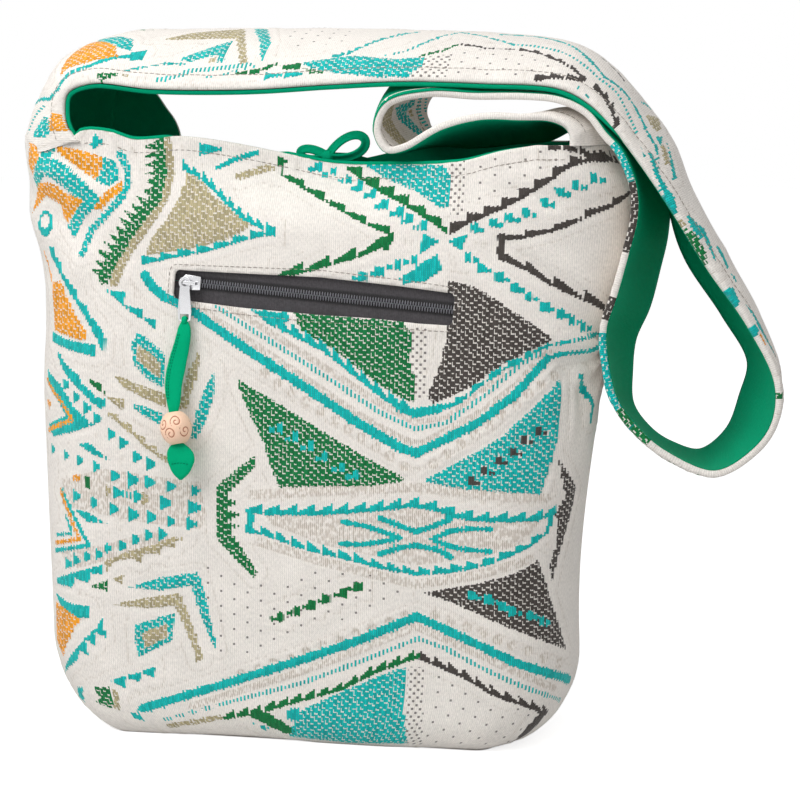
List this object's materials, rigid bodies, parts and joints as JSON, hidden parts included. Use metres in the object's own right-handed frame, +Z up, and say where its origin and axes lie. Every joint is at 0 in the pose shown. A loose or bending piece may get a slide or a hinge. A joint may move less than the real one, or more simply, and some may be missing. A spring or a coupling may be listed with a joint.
{
  "type": "shoulder bag",
  "caption": "Soft open-topped shoulder bag of patterned woven cloth with a green lining, a front zip pocket with a beaded pull, and one long lined strap draped over its side.",
  "frame": {"origin": "centre of the base, on the floor", "axes": "+Z up, the front with the zip pocket faces -Y, the draped strap is at +X"},
  "size_m": [0.4583, 0.1208, 0.4181],
  "materials": {
    "jacquard": "matte woven cotton",
    "lining": "plain cotton",
    "zip_tape": "woven tape",
    "zip_coil": "satin",
    "zip_metal": "bright",
    "bead": "satin"
  },
  "bodies": {
    "bag": {"front_panel": "jacquard", "back_panel": "jacquard", "body_lining": "lining", "strap_shell": "jacquard", "strap_lining": "lining", "zip_tape_upper": "zip_tape", "zip_tape_lower": "zip_tape", "zip_coil_upper": "zip_coil", "zip_coil_lower": "zip_coil", "pocket_pouch": "lining", "mouth_tie": "lining"},
    "slider": {"zip_slider": "zip_metal"},
    "pull": {"pull_tab": "zip_metal", "cloth_pull": "lining", "carved_bead": "bead"}
  },
  "joints": [
    {"name": "zip_slide", "type": "slide", "parent": "bag", "child": "slider", "axis": [0.9966, -0.0041, -0.0818], "range_m": [0, 0.15], "deforming": ["zip_coil_upper", "zip_coil_lower"]},
    {"name": "pull_swing", "type": "hinge", "parent": "slider", "child": "pull", "pos_m": [-0.06658, -0.04527, 0.27372], "axis": [0, -0.9988, 0.0499], "range_deg": [-80, 40]}
  ]
}
